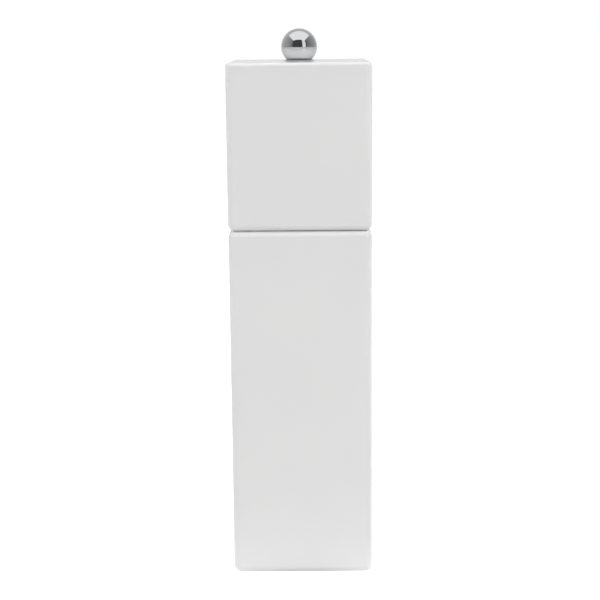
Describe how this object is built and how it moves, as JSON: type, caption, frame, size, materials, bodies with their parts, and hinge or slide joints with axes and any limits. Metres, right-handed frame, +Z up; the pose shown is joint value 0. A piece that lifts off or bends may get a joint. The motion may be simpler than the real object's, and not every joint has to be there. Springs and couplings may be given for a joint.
{
  "type": "pepper mill",
  "caption": "Tall square pepper mill in glossy white lacquered wood: a head turns on the body to drive steel burrs, under a chrome ball knob that sets the grind.",
  "frame": {"origin": "middle of the body's base, where the mill stands", "axes": "+Z up along the turning axis, -Y towards the front"},
  "size_m": [0.062, 0.062, 0.24],
  "materials": {
    "white_lacquer": "white high-gloss lacquer on hardwood",
    "bare_beech": "turned bare beech",
    "polished_chrome": "mirror chrome plate",
    "bright_steel": "drawn and zinc-bright steel",
    "burr_steel": "case-hardened dark steel",
    "turned_brass": "turned brass",
    "nylon": "natural nylon"
  },
  "bodies": {
    "base": {"body_block": "white_lacquer", "grinder_case": "bright_steel", "case_screws": "bright_steel", "stator": "burr_steel", "bridge": "bright_steel", "bridge_bush": "turned_brass", "spring": "bright_steel"},
    "glide": {"glide_ring": "nylon"},
    "head": {"head_block": "white_lacquer", "head_spigot": "bare_beech", "drive_plate": "bright_steel", "drive_plate_screws": "bright_steel", "top_bush": "turned_brass", "knob_collar": "polished_chrome"},
    "knob": {"knob": "polished_chrome", "knob_insert": "turned_brass"},
    "thrust": {"thrust_washer": "bright_steel"},
    "shaft": {"shaft": "bright_steel", "shaft_clip": "bright_steel", "rotor": "burr_steel", "rotor_washer": "bright_steel", "rotor_nut": "bright_steel"}
  },
  "joints": [
    {"name": "head_lift", "type": "slide", "parent": "base", "child": "glide", "axis": [0, 0, 1], "range_m": [0, 0.105]},
    {"name": "head_turn", "type": "hinge", "parent": "glide", "child": "head", "pos_m": [0, 0, 0.1546], "axis": [0, 0, 1], "continuous": true},
    {"name": "knob_turn", "type": "hinge", "parent": "head", "child": "knob", "pos_m": [0, 0, 0.2321], "axis": [0, 0, 1], "range_deg": [-900, 0]},
    {"name": "grind_adjust", "type": "slide", "parent": "base", "child": "thrust", "axis": [0, 0, 1], "range_m": [0, 0.0025], "deforming": ["spring"]},
    {"name": "shaft_turn", "type": "hinge", "parent": "thrust", "child": "shaft", "pos_m": [0, 0, 0.018], "axis": [0, 0, 1], "continuous": true}
  ],
  "couplings": [
    {"joint": "knob_turn", "follows": "grind_adjust", "rad_per_m": -6283.2},
    {"joint": "shaft_turn", "follows": "head_turn", "ratio": 1}
  ]
}
